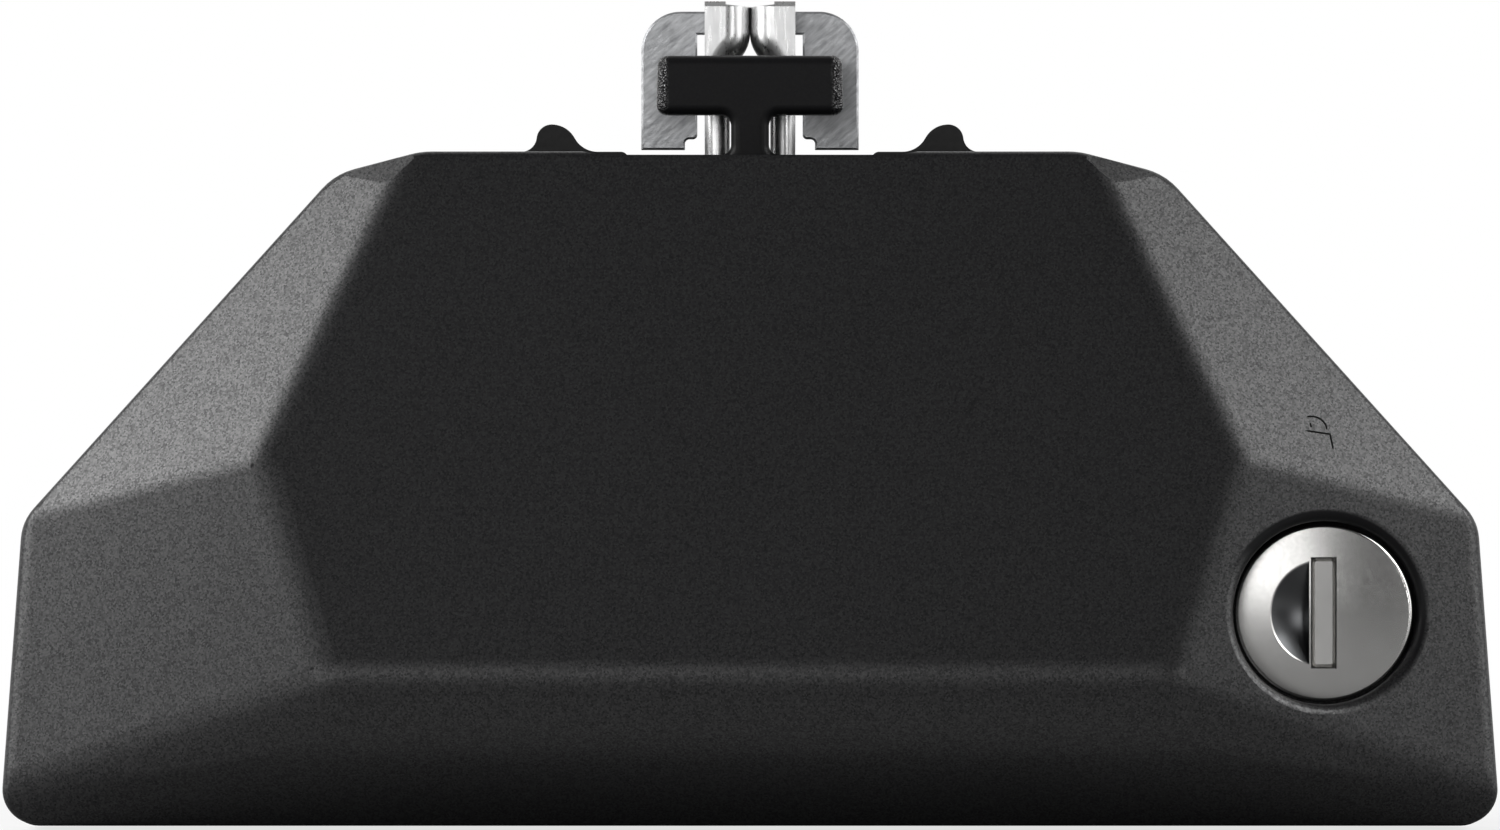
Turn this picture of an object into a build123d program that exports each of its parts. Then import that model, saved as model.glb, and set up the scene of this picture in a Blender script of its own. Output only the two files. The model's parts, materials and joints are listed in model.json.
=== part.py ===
from build123d import *
from math import cos, radians, sin
import os

os.makedirs("parts", exist_ok=True)

# Roof bar foot. It stands on its base at z = 0, shows its faceted cover to -Y and takes the bar on top.
# The bar would run along Y. All sizes are in millimetres, and heights and depths are places in this frame.

# Front outline of the foot, one half of it
base_half = 90.3
shoulder_half = 87.7
shoulder_z = 36.8
brow_half = 50.0
brow_z = 78.65
crown_half = 39.6
crown_z = 81.35
base_gap = 0.3
base_round = 4.2
shoulder_round = 6.0
brow_round = 8.0
crown_round = 10.0

# Facets of the cover, placed by the corners of the centre facet
nose_y = -43.0
nose_z = 15.3
front_lean = 14.7
chin_lean = 45.0
facet_low_half = 50.0
facet_mid_half = 58.7
facet_mid_z = 44.8
facet_top_half = 41.4
facet_top_z = 80.3
chin_end_in = 8.6
chin_end_z = 4.4
side_end_in = 1.9
side_end_z = 38.0
corner_z = 77.3
facet_round = 9.0
rim_round = 1.0

# Cover shell and its claws
cover_wall = 2.5
parting_y = -18.0
dip_half = 17.8
dip_depth = 0.4
dip_run = 2.4
claw_heights = (14.0, 28.0)
claw_width = 8.0
claw_thick = 2.5
claw_clear = 2.6
claw_back = -11.0
claw_nub = 3.0
claw_catch = 1.0
claw_play = 1.8

# Lock in the cover
lock_from_side = 19.45
lock_z = 25.8
lock_sunk = 4.1
lock_radius = 10.7
lock_disc = 4.0
lock_gap = 0.35
lock_crown = 0.5
lock_rim = 0.5
lock_lip = 1.3
plug_radius = 8.0
plug_long = 17.8
tail_radius = 4.0
tail_flat = 3.0
sleeve_radius = 10.4
sleeve_short = 0.5
boss_wall = 2.6
boss_long = 13.3
turn_fit = 0.08
seat_fit = 0.05
clip_thick = 1.0
clip_reach = 2.0
clip_mouth = 9.0
slot_width = 3.1
slot_height = 13.4
slot_deep = 12.5
scoop_radius = 6.8
scoop_deep = 2.0
scoop_edge = 0.2
shutter_width = 2.8
shutter_height = 13.1
shutter_thick = 3.0
shutter_sunk = 0.5
spring_strip = 0.3
spring_width = 2.0
spring_spread = 4.0
cam_thick = 2.5
cam_hub = 7.0
cam_arm = 12.8
cam_arm_width = 8.0
cam_screw_head = 4.4
cam_screw_high = 2.2
cam_screw_shank = 1.8
cam_screw_long = 6.0
strike_thick = 2.4
strike_gap = 0.5
strike_catch = 2.6
strike_height = 14.0

# Housing behind the cover
body_inset = 0.4
body_gap = 0.5
body_back = 42.0
back_lean = 5.0
back_half = 56.0
back_foot_z = 12.0
flank_front = 16.0
flank_lean = 8.0
back_wall = 3.0
side_wall = 3.0
back_round = 6.0
back_rim = 1.6
tongue_front = -23.5
tongue_gap = 0.6
tongue_wall = 2.4
swing_relief = 2.0
rib_thick = 2.4
rib_places = (-48.0, 48.0)
rib_front = -4.0
boss_top = 10.0
boss_radius = 6.5
claw_slot_half = 11.0
claw_slot_front = 5.0
claw_slot_back = 31.0
deck_rib = (9.0, 13.0)

# Saddle pads
pad_inner = 14.7
pad_outer = 27.6
pad_peak_x = 23.95
pad_peak_z = 84.7
pad_foot_x = 18.4
pad_front = -14.0
pad_back = 33.0
pad_sunk = 2.4
pad_rise = 0.45
pad_round = 0.9

# T-shaped guide for the bar's slot
guide_half = 11.3
guide_top_half = 11.1
guide_low = 85.9
guide_top = 93.0
guide_round = 1.2
guide_edge = 1.15
neck_half = 2.3
neck_round = 1.3
guide_front = -16.0
guide_back = -0.5
plinth_half = 3.7
flange_half = 8.0
flange_thick = 2.4
guide_clear = 0.1
guide_screw_y = -4.5
guide_screw_radius = 1.75
guide_screw_head = 3.5
guide_screw_high = 2.2
guide_screw_long = 9.0

# Hook, two folded halves back to back
hook_front = 0.5
hook_back = 19.0
hook_nose_back = 14.5
hook_top = 99.75
hook_low = 44.0
hook_half = 5.5
hook_sheet = 3.05
leg_half_gap = 2.45
joggle_top = 96.0
joggle_low = 90.0
bend_round = 2.95
seam_drop = 0.7
lug_step = 0.35
lug_edge = 0.6
leg_round = 1.4
hook_clear = 0.6

# Yoke that hangs on the hook
yoke_front = 9.0
yoke_sheet = 3.0
yoke_half = 13.2
yoke_top = 98.6
yoke_low = 81.8
yoke_round = 4.8
window_half = 6.4
window_top = 95.8
yoke_notch = 0.8
yoke_notch_half = 3.4
yoke_toe_wide = 1.5
yoke_toe_high = 1.3
yoke_toe_round = 0.55
yoke_edge = 0.25
yoke_clear = 0.1

# Steel frame, a folded hat section
frame_front = -8.0
frame_back = 32.0
frame_inner = 14.0
frame_sheet = 3.0
frame_bend = 4.0
frame_foot = 36.0
frame_screw_x = 27.0
frame_screw_y = (0.0, 26.0)
frame_screw_shank = 2.5
frame_screw_head = 4.6
frame_screw_high = 3.2
frame_screw_deep = 8.0
hole_clear = 0.25

# Tension screw and what it draws
screw_z = 31.0
screw_radius = 4.0
screw_end = 31.0
screw_head_radius = 6.5
screw_head_long = 8.0
screw_socket = 5.0
screw_socket_deep = 4.5
washer_radius = 8.0
washer_thick = 1.6
thrust_thick = 3.0
thrust_half_high = 9.0
thrust_tab_half = 5.0
clip_gap = 0.5
groove_deep = 0.8
thread_fit = 0.1
block_front = 8.0
block_long = 14.0
block_low = 22.0
block_high = 40.0
block_side_clear = 0.3
tongue_half = 2.2
tongue_front_y = -3.0
tongue_back_y = 17.5
tongue_margin = 6.0
tongue_round = 3.0
tongue_top = 66.0
toe_low = 2.0
toe_half = 9.0
toe_thick = 8.0
toe_hole = 3.1
toe_hole_z = 12.0

# Cross pin that the block lifts
pin_y = 10.0
pin_z = 52.0
pin_radius = 3.0
pin_half = 20.2
pin_fit = 0.1
lift = 6.0
track_clear = 0.3

# How far a cutter reaches past a face, and how near two places count as the same
over = 1.0
near = 0.001


def across(depth):
    """Plane that faces the front at a depth: extruding by a negative amount goes back from it."""
    return Plane(origin=(0, depth, 0), x_dir=(1, 0, 0), z_dir=(0, -1, 0))


def set_in(points, inset):
    """Corners of a counterclockwise polygon whose sides all move in by the same amount."""
    moved = []
    for here in range(len(points)):
        before = (points[here] - points[here - 1]).normalized()
        after = (points[(here + 1) % len(points)] - points[here]).normalized()
        inward_before = Vector(-before.Y, before.X)
        inward_after = Vector(-after.Y, after.X)
        share = inset / (1 + inward_before.dot(inward_after))
        moved.append(points[here] + (inward_before + inward_after) * share)
    return moved


def outline(depth, inset=0.0, low=base_gap):
    """Sketch of the foot's front outline at a depth, set in from the cover's own outline."""
    half = [(base_half, low), (shoulder_half, shoulder_z), (brow_half, brow_z), (crown_half, crown_z)]
    right = [Vector(x, z) for x, z in half]
    left = [Vector(-x, z) for x, z in reversed(half)]
    rounds = [base_round, shoulder_round, brow_round, crown_round]
    radii = [max(size - inset, 0.5) for size in rounds + rounds[::-1]]
    with BuildSketch(across(depth)) as face:
        with BuildLine():
            FilletPolyline(*set_in(right + left, inset), radius=radii, close=True)
        make_face()
    return face.sketch


def claw_tip(height):
    """Where a claw's nub ends in the housing's wall at a height."""
    return -(side_half(height) - cavity_inset + claw_catch)


def pin_clip_plane(side):
    """Plane in which the clip on one end of the cross pin starts, to extrude towards +X."""
    outside = frame_outer + clip_gap
    start = outside if side > 0 else -outside - clip_thick
    return Plane.YZ.offset(start)


def pin_bore(radius):
    """Bore along X for the cross pin."""
    with BuildSketch(Plane.YZ.offset(-pin_half)) as bore:
        with Locations((pin_y, pin_z)):
            Circle(radius)
    extrude(bore.sketch, amount=2 * pin_half, mode=Mode.SUBTRACT)


def side_half(height):
    """Half width of the outline at a height on its upright sides."""
    share = (height - base_gap) / (shoulder_z - base_gap)
    return base_half + (shoulder_half - base_half) * share


def rod(x, z, radius, front, back, mode=Mode.ADD):
    """Round bar or bore along Y."""
    with BuildSketch(across(front)) as disc:
        with Locations((x, z)):
            Circle(radius)
    extrude(disc.sketch, amount=front - back, mode=mode)


def block(x, y, z, mode=Mode.ADD):
    """Rectangular block between two places on each axis."""
    with Locations(((x[0] + x[1]) / 2, (y[0] + y[1]) / 2, (z[0] + z[1]) / 2)):
        Box(x[1] - x[0], y[1] - y[0], z[1] - z[0], mode=mode)


def save(name, part):
    """Label a finished piece and write its STEP file."""
    part.label = name
    export_step(part, f"parts/{name}.step")


def on_plane(plane, x, z):
    """Point of a plane that the front view shows at x and z."""
    normal = plane.z_dir
    start = plane.origin
    y = start.Y - (normal.X * (x - start.X) + normal.Z * (z - start.Z)) / normal.Y
    return Vector(x, y, z)


def facet(first, second, third):
    """Plane through three points, its normal to the front."""
    normal = (second - first).cross(third - first)
    if normal.Y > 0:
        normal = normal * -1
    return Plane(origin=first, z_dir=normal)


def tail_shape(clear):
    """Round tail of the lock plug with two flats, or the hole for it, about the lock's axis."""
    with BuildSketch() as shape:
        Circle(tail_radius + clear)
        Rectangle(2 * (tail_flat + clear), 2 * (tail_radius + clear), mode=Mode.INTERSECT)
    return shape.sketch


def ring_face(plane, centre, outer, inner, mouth=0.0):
    """Ring in a plane: closed for a groove, or with a mouth upwards for the clip that snaps into it."""
    with BuildSketch(plane) as ring:
        with Locations(centre):
            Circle(outer)
            Circle(inner, mode=Mode.SUBTRACT)
        if mouth:
            with Locations((centre[0], centre[1] + outer)):
                Rectangle(mouth, 2 * outer - inner, mode=Mode.SUBTRACT)
    return ring.sketch


def joggle(shift):
    """S of two arcs, by which a hook half's web steps outward below its top."""
    middle = (shift + leg_half_gap / 2, (joggle_top + joggle_low) / 2)
    TangentArc((shift, joggle_top), middle, tangent=(0, -1))
    TangentArc((shift + leg_half_gap, joggle_low), middle, tangent=(0, 1))


# Facet planes of the cover
front_plane = Plane(
    origin=(0, nose_y, nose_z), z_dir=(0, -cos(radians(front_lean)), sin(radians(front_lean)))
)
chin_plane = Plane(
    origin=(0, nose_y, nose_z), z_dir=(0, -cos(radians(chin_lean)), -sin(radians(chin_lean)))
)
main_planes = [front_plane, chin_plane]
corner_planes = []
for side in (-1, 1):
    top_point = on_plane(front_plane, side * facet_top_half, facet_top_z)
    mid_point = on_plane(front_plane, side * facet_mid_half, facet_mid_z)
    low_point = on_plane(front_plane, side * facet_low_half, nose_z)
    chin_point = on_plane(chin_plane, side * (base_half - chin_end_in), chin_end_z)
    lower_plane = facet(mid_point, low_point, chin_point)
    side_point = on_plane(lower_plane, side * (shoulder_half - side_end_in), side_end_z)
    upper_plane = facet(top_point, mid_point, side_point)
    main_planes += [lower_plane, upper_plane]
    tip_share = (corner_z - facet_mid_z) / (facet_top_z - facet_mid_z)
    tip_point = mid_point + (top_point - mid_point) * tip_share
    brow_point = on_plane(upper_plane, side * brow_half, brow_z)
    corner_planes.append(facet(tip_point, brow_point, on_plane(front_plane, side * crown_half, crown_z)))
lock_facet = main_planes[-2]

# Back and flank planes of the housing
back_planes = [
    Plane(origin=(0, body_back, back_foot_z), z_dir=(0, cos(radians(back_lean)), sin(radians(back_lean))))
]
for side in (-1, 1):
    flank = Vector(side * (body_back - flank_front), base_half - back_half, 0).normalized()
    flank_dir = flank * cos(radians(flank_lean)) + Vector(0, 0, sin(radians(flank_lean)))
    back_planes.append(Plane(origin=(side * back_half, body_back, back_foot_z), z_dir=flank_dir))

# Places that several pieces share
lock_x = side_half(lock_z) - lock_from_side
lock_face_y = on_plane(lock_facet, lock_x, lock_z).Y + lock_sunk
plug_back = lock_face_y + plug_long
sleeve_back = plug_back - sleeve_short
boss_back = lock_face_y + boss_long
body_front = parting_y + body_gap
cavity_inset = cover_wall + tongue_gap + tongue_wall
deck_z = crown_z - body_inset
cavity_top = crown_z - cavity_inset
cavity_low = base_gap + cavity_inset
frame_top = cavity_top - flange_thick
frame_outer = frame_inner + frame_sheet
disc_back = lock_face_y + lock_disc
sleeve_front = disc_back + lock_gap / 2
claw_x = -(side_half(max(claw_heights) + claw_width / 2) - cavity_inset - claw_clear)
washer_front = frame_front - washer_thick
cam_back = plug_back + cam_thick
shutter_front = lock_face_y + shutter_sunk
shutter_back = shutter_front + shutter_thick
slot_end = lock_face_y + slot_deep
sleeve_groove = sleeve_radius - groove_deep
pin_groove = pin_radius - groove_deep
screw_groove = screw_radius - groove_deep
screw_clip_y = frame_front + thrust_thick + clip_gap
strike_x = side_half(lock_z) - cavity_inset - strike_catch
pad_base = deck_z - pad_sunk
pad_crest = deck_z + pad_rise
guide_screw_seat = frame_top - frame_sheet
strip_low = yoke_top - yoke_notch + yoke_clear
frame_seat = boss_top + frame_sheet
claw_facet = main_planes[2]
hook_slot = hook_half + hook_clear
plinth_slot = plinth_half + guide_clear

# Front cover: the outline cut by its facets, softened, hollowed, with the lock boss and two claws
with BuildPart() as cover_cavity:
    extrude(outline(nose_y, cover_wall), amount=nose_y - body_front)
    for plane in main_planes + corner_planes:
        split(bisect_by=plane.offset(-cover_wall), keep=Keep.BOTTOM)

with BuildPart() as lock_boss:
    rod(lock_x, lock_z, sleeve_radius + seat_fit + boss_wall, nose_y, boss_back)
    split(bisect_by=lock_facet.offset(-cover_wall / 2), keep=Keep.BOTTOM)

with BuildPart() as claws:
    for height in claw_heights:
        sides = (height - claw_width / 2, height + claw_width / 2)
        block((claw_x, claw_x + claw_thick), (nose_y, claw_back), sides)
        block((claw_tip(height), claw_x + claw_thick), (claw_back - claw_nub, claw_back), sides)
    split(bisect_by=claw_facet.offset(-cover_wall / 2), keep=Keep.BOTTOM)

with BuildPart() as crown_dip:
    with BuildSketch(across(nose_y)) as dip:
        with BuildLine():
            Polyline(
                (-dip_half - dip_run, crown_z),
                (-dip_half, crown_z - dip_depth),
                (dip_half, crown_z - dip_depth),
                (dip_half + dip_run, crown_z),
                close=True,
            )
        make_face()
    extrude(dip.sketch, amount=nose_y - parting_y)

with BuildPart() as front_cover:
    extrude(outline(nose_y), amount=nose_y - parting_y)
    for plane in main_planes:
        split(bisect_by=plane, keep=Keep.BOTTOM)
    walls = [face for face in front_cover.faces() if abs(face.normal_at().Y) < near]
    ridges = front_cover.edges() - ShapeList(edge for wall in walls for edge in wall.edges())
    fillet(ridges, facet_round)
    walls = [face for face in front_cover.faces() if abs(face.normal_at().Y) < near]
    rim = [edge for wall in walls for edge in wall.edges() if edge.center().Y < parting_y - rim_round]
    fillet([edge for edge in rim if abs(edge.tangent_at(0.5).Y) < 1 - near], rim_round)
    for plane in corner_planes:
        split(bisect_by=plane, keep=Keep.BOTTOM)
    add(cover_cavity.part, mode=Mode.SUBTRACT)
    add(lock_boss.part)
    rod(lock_x, lock_z, lock_radius + lock_gap, nose_y, sleeve_front, Mode.SUBTRACT)
    rod(lock_x, lock_z, sleeve_radius + seat_fit, nose_y, boss_back, Mode.SUBTRACT)
    fillet(front_cover.edges().filter_by(GeomType.ELLIPSE).sort_by(Axis.Y)[0], lock_lip)
    add(claws.part)
    add(crown_dip.part, mode=Mode.SUBTRACT)
save("front_cover", front_cover.part)

# Lock: fixed sleeve with its clip, turning plug with key slot and scoop, shutter, cam and screw
with BuildPart() as lock_sleeve:
    rod(lock_x, lock_z, sleeve_radius, sleeve_front, sleeve_back)
    rod(lock_x, lock_z, plug_radius + turn_fit, sleeve_front, sleeve_back, Mode.SUBTRACT)
    extrude(
        ring_face(across(boss_back), (lock_x, lock_z), sleeve_radius + clip_reach, sleeve_groove),
        amount=-clip_thick,
        mode=Mode.SUBTRACT,
    )
save("lock_sleeve", lock_sleeve.part)

with BuildPart() as sleeve_clip:
    clip_radius = sleeve_radius + clip_reach
    clip = ring_face(across(boss_back), (lock_x, lock_z), clip_radius, sleeve_groove, clip_mouth)
    extrude(clip, amount=-clip_thick)
save("sleeve_clip", sleeve_clip.part)

scoop_sphere = (scoop_radius**2 + scoop_deep**2) / (2 * scoop_deep)
with BuildPart() as scoop:
    with Locations((lock_x, lock_face_y - scoop_sphere + scoop_deep, lock_z)):
        Sphere(scoop_sphere)
    split(bisect_by=Plane.YZ.offset(lock_x - slot_width / 2 - scoop_edge), keep=Keep.BOTTOM)

with BuildPart() as lock_plug:
    with BuildSketch(Plane.XY.offset(lock_z)) as disc_half:
        with BuildLine():
            rim_start = (lock_x + lock_radius - lock_rim, lock_face_y + lock_crown)
            rim_end = (lock_x + lock_radius, lock_face_y + lock_crown + lock_rim)
            TangentArc((lock_x, lock_face_y), rim_start, tangent=(1, 0))
            TangentArc(rim_end, rim_start, tangent=(0, -1))
            Polyline(rim_end, (lock_x + lock_radius, disc_back), (lock_x, disc_back), (lock_x, lock_face_y))
        make_face()
    revolve(disc_half.sketch, axis=Axis((lock_x, lock_face_y, lock_z), (0, 1, 0)))
    rod(lock_x, lock_z, plug_radius, disc_back, plug_back)
    with BuildSketch(across(plug_back)) as tail:
        with Locations((lock_x, lock_z)):
            add(tail_shape(0))
    extrude(tail.sketch, amount=-cam_thick)
    with BuildSketch(across(lock_face_y)) as key_slot:
        with Locations((lock_x, lock_z)):
            Rectangle(slot_width, slot_height)
    extrude(key_slot.sketch, amount=-slot_deep, mode=Mode.SUBTRACT)
    add(scoop.part, mode=Mode.SUBTRACT)
    rod(lock_x, lock_z, cam_screw_shank, cam_back - cam_screw_long, cam_back, Mode.SUBTRACT)
save("lock_plug", lock_plug.part)

with BuildPart() as key_shutter:
    with BuildSketch(across(shutter_front)) as shutter_face:
        with Locations((lock_x, lock_z)):
            RectangleRounded(shutter_width, shutter_height, shutter_width / 5)
    extrude(shutter_face.sketch, amount=-shutter_thick)
    chamfer(key_shutter.faces().sort_by(Axis.Y)[0].edges(), shutter_width / 8)
save("key_shutter", key_shutter.part)

with BuildPart() as shutter_spring:
    with BuildSketch(Plane.YZ.offset(lock_x - spring_width / 2)) as leaf:
        with BuildLine():
            Polyline(
                (shutter_back, lock_z + spring_spread),
                (slot_end, lock_z),
                (shutter_back, lock_z - spring_spread),
                (shutter_back, lock_z - spring_spread + spring_strip),
                (slot_end - 2 * spring_strip, lock_z),
                (shutter_back, lock_z + spring_spread - spring_strip),
                close=True,
            )
        make_face()
    extrude(leaf.sketch, amount=spring_width)
save("shutter_spring", shutter_spring.part)

with BuildPart() as lock_cam:
    with BuildSketch(across(plug_back)) as lever:
        with Locations((lock_x, lock_z)):
            Circle(cam_hub)
        with Locations((lock_x, lock_z - cam_arm / 2)):
            Rectangle(cam_arm_width, cam_arm)
        fillet(lever.vertices().group_by(Axis.Y)[0], cam_arm_width / 4)
        with Locations((lock_x, lock_z)):
            add(tail_shape(seat_fit), mode=Mode.SUBTRACT)
    extrude(lever.sketch, amount=-cam_thick)
save("lock_cam", lock_cam.part)

with BuildPart() as cam_screw:
    rod(lock_x, lock_z, cam_screw_head, cam_back, cam_back + cam_screw_high)
    chamfer(cam_screw.faces().sort_by(Axis.Y)[-1].edges(), cam_screw_high / 3)
    rod(lock_x, lock_z, cam_screw_shank, cam_back - cam_screw_long, cam_back)
save("cam_screw", cam_screw.part)

# Housing: the outline cut by leaning rear planes, a tongue inside the cover, cavity, ribs and openings
with BuildPart() as housing_tongue:
    extrude(outline(tongue_front, cover_wall + tongue_gap), amount=tongue_front - body_front)
    for plane in main_planes + corner_planes:
        split(bisect_by=plane.offset(-cover_wall - tongue_gap), keep=Keep.BOTTOM)

with BuildPart() as housing_ribs:
    for place in rib_places:
        block((place - rib_thick / 2, place + rib_thick / 2), (rib_front, body_back), (0, crown_z))
    for side in (-1, 1):
        ends = sorted((side * deck_rib[0], side * deck_rib[1]))
        block(ends, (hook_back + hook_clear, frame_back), (frame_top, crown_z))
        for place in frame_screw_y:
            with Locations((side * frame_screw_x, place, boss_top / 2)):
                Cylinder(boss_radius, boss_top)
    extrude(outline(rib_front, side_wall / 2), amount=rib_front - body_back, mode=Mode.INTERSECT)
    for plane in back_planes:
        split(bisect_by=plane.offset(-back_wall / 2), keep=Keep.BOTTOM)

with BuildPart() as housing_cavity:
    extrude(outline(rib_front, body_inset + side_wall), amount=rib_front - body_back)
    split(bisect_by=Plane.XY.offset(cavity_top), keep=Keep.BOTTOM)
    split(bisect_by=Plane.XY.offset(cavity_low), keep=Keep.TOP)
    extrude(outline(tongue_front, cavity_inset), amount=tongue_front - body_back)
    for plane in back_planes:
        split(bisect_by=plane.offset(-back_wall), keep=Keep.BOTTOM)

with BuildPart() as foot_housing:
    extrude(outline(body_front, body_inset, -body_inset), amount=body_front - body_back)
    for plane in back_planes:
        split(bisect_by=plane, keep=Keep.BOTTOM)
    back_faces = [face for face in foot_housing.faces() if face.normal_at().Y > near]
    back_edges = [edge for face in back_faces for edge in face.edges()]
    fillet([edge for edge in back_edges if back_edges.count(edge) > 1], back_round)
    back_faces = [face for face in foot_housing.faces() if face.normal_at().Y > near]
    back_edges = [edge for face in back_faces for edge in face.edges()]
    fillet([edge for edge in back_edges if back_edges.count(edge) == 1], back_rim)
    front_edges = foot_housing.faces().sort_by(Axis.Y)[0].edges()
    chamfer(front_edges, swing_relief)
    add(housing_tongue.part)
    add(housing_cavity.part, mode=Mode.SUBTRACT)
    add(housing_ribs.part)
    block(
        (strike_x, side_half(lock_z) - cavity_inset + over),
        (plug_back - strike_gap - strike_thick, plug_back - strike_gap),
        (lock_z - strike_height / 2, lock_z + strike_height / 2),
    )
    for height in claw_heights:
        block(
            (claw_tip(height) - claw_play, claw_x),
            (claw_back - claw_nub - claw_play, claw_back + claw_play),
            (height - claw_width / 2 - claw_play, height + claw_width / 2 + claw_play),
            Mode.SUBTRACT,
        )
    block((-hook_slot, hook_slot), (hook_front - hook_clear, hook_back + hook_clear), (frame_top, crown_z),
          Mode.SUBTRACT)
    block((-plinth_slot, plinth_slot), (tongue_front, hook_front), (frame_top, crown_z), Mode.SUBTRACT)
    for side in (-1, 1):
        ends = sorted((side * (pad_inner - guide_clear), side * (pad_outer + guide_clear)))
        block(ends, (pad_front - guide_clear, pad_back + guide_clear), (pad_base, crown_z), Mode.SUBTRACT)
        for place in frame_screw_y:
            with Locations((side * frame_screw_x, place, boss_top - frame_screw_deep / 2)):
                Cylinder(frame_screw_shank, frame_screw_deep, mode=Mode.SUBTRACT)
    block((-claw_slot_half, claw_slot_half), (claw_slot_front, claw_slot_back), (-over, boss_top),
          Mode.SUBTRACT)
save("foot_housing", foot_housing.part)

# Saddle pads: humped rubber strips let into the deck
with BuildPart() as saddle_pad_right:
    with BuildSketch(across(pad_front)) as hump:
        with BuildLine():
            Polyline(
                (pad_inner, pad_crest),
                (pad_inner, pad_base),
                (pad_outer, pad_base),
                (pad_outer, pad_crest),
            )
            for foot_x in (pad_outer, pad_foot_x):
                middle = ((pad_peak_x + foot_x) / 2, (pad_peak_z + pad_crest) / 2)
                TangentArc((pad_peak_x, pad_peak_z), middle, tangent=(foot_x - pad_peak_x, 0))
                TangentArc((foot_x, pad_crest), middle, tangent=(pad_peak_x - foot_x, 0))
            Line((pad_foot_x, pad_crest), (pad_inner, pad_crest))
        make_face()
        fillet(hump.vertices().sort_by_distance((pad_inner, pad_crest))[0], pad_round)
    extrude(hump.sketch, amount=pad_front - pad_back)
save("saddle_pad_right", saddle_pad_right.part)

with BuildPart() as saddle_pad_left:
    mirror(saddle_pad_right.part, about=Plane.YZ)
save("saddle_pad_left", saddle_pad_left.part)

# Slot guide: a T that stands on the deck, its foot held between the deck and the frame
with BuildPart() as slot_guide:
    with BuildSketch(across(guide_front)) as tee:
        with BuildLine():
            Polyline(
                (0, frame_top),
                (flange_half, frame_top),
                (flange_half, cavity_top),
                (plinth_half, cavity_top),
                (plinth_half, deck_z),
                (neck_half, deck_z),
                (neck_half, guide_low),
                (guide_half, guide_low),
                (guide_top_half, guide_top),
                (0, guide_top),
                close=True,
            )
        make_face()
        mirror(about=Plane.YZ)
        neck_corners = [v for v in tee.vertices() if abs(abs(v.X) - neck_half) < near]
        fillet(neck_corners, neck_round)
        head_corners = [v for v in tee.vertices() if abs(v.X) > flange_half + near]
        fillet(head_corners, guide_round)
    extrude(tee.sketch, amount=guide_front - guide_back)
    tee_edges = slot_guide.faces().sort_by(Axis.Y)[0].edges()
    fillet([edge for edge in tee_edges if edge.bounding_box().min.Z > deck_z + neck_round / 2], guide_edge)
    with Locations((0, guide_screw_y, guide_screw_seat + guide_screw_long / 2)):
        Cylinder(guide_screw_radius, guide_screw_long, mode=Mode.SUBTRACT)
save("slot_guide", slot_guide.part)

with BuildPart() as guide_screw:
    with Locations((0, guide_screw_y, guide_screw_seat + guide_screw_long / 2)):
        Cylinder(guide_screw_radius, guide_screw_long)
    with Locations((0, guide_screw_y, guide_screw_seat - guide_screw_high / 2)):
        Cylinder(guide_screw_head, guide_screw_high)
    chamfer(guide_screw.faces().sort_by(Axis.Z)[0].edges(), guide_screw_high / 3)
save("guide_screw", guide_screw.part)

# Hook: each half is a strip folded to an angle; the webs meet at the top and spread below
with BuildPart() as hook_half_right:
    with BuildSketch(across(hook_front)) as web:
        with BuildLine():
            Polyline((hook_sheet, joggle_top), (hook_sheet, hook_top), (0, hook_top), (0, joggle_top))
            joggle(0)
            Line((leg_half_gap, joggle_low), (leg_half_gap + hook_sheet, joggle_low))
            joggle(hook_sheet)
        make_face()
    extrude(web.sketch, amount=hook_front - hook_back)
    with BuildSketch(across(hook_front)) as lug:
        with BuildLine():
            joggle(0)
            Polyline(
                (leg_half_gap, joggle_low),
                (hook_half, joggle_low),
                (hook_half, hook_top),
                (0, hook_top),
                (0, joggle_top),
            )
        make_face()
    extrude(lug.sketch, amount=-hook_sheet)
    front_face = hook_half_right.faces().sort_by(Axis.Y)[0]
    bend = [edge for edge in front_face.edges() if edge.bounding_box().max.X < leg_half_gap + near]
    fillet(bend, bend_round)
    lug_front = hook_half_right.faces().sort_by(Axis.Y)[0]
    chamfer(lug_front.edges().sort_by(Axis.Z)[-1], lug_edge)
    with BuildSketch(across(hook_front)) as crown:
        with BuildLine():
            Polyline(
                (0, hook_top),
                (0, hook_top - seam_drop),
                (bend_round, hook_top - lug_step),
                (bend_round, hook_top),
                close=True,
            )
        make_face()
    extrude(crown.sketch, amount=hook_front - hook_back, mode=Mode.SUBTRACT)
    with BuildSketch(Plane.XY.offset(hook_low)) as leg:
        with Locations((leg_half_gap + hook_sheet / 2, (hook_front + hook_back) / 2)):
            Rectangle(hook_sheet, hook_back - hook_front)
        fillet(leg.vertices().group_by(Axis.Y)[0], leg_round)
    extrude(leg.sketch, amount=joggle_low - hook_low)
    block((-over, hook_half), (yoke_front - yoke_clear, hook_back), (window_top - yoke_clear, strip_low),
          Mode.SUBTRACT)
    block((-over, hook_half), (hook_nose_back, hook_back), (window_top - yoke_clear, hook_top),
          Mode.SUBTRACT)
    pin_bore(pin_radius + seat_fit)
save("hook_half_right", hook_half_right.part)

with BuildPart() as hook_half_left:
    mirror(hook_half_right.part, about=Plane.YZ)
save("hook_half_left", hook_half_left.part)

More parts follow.
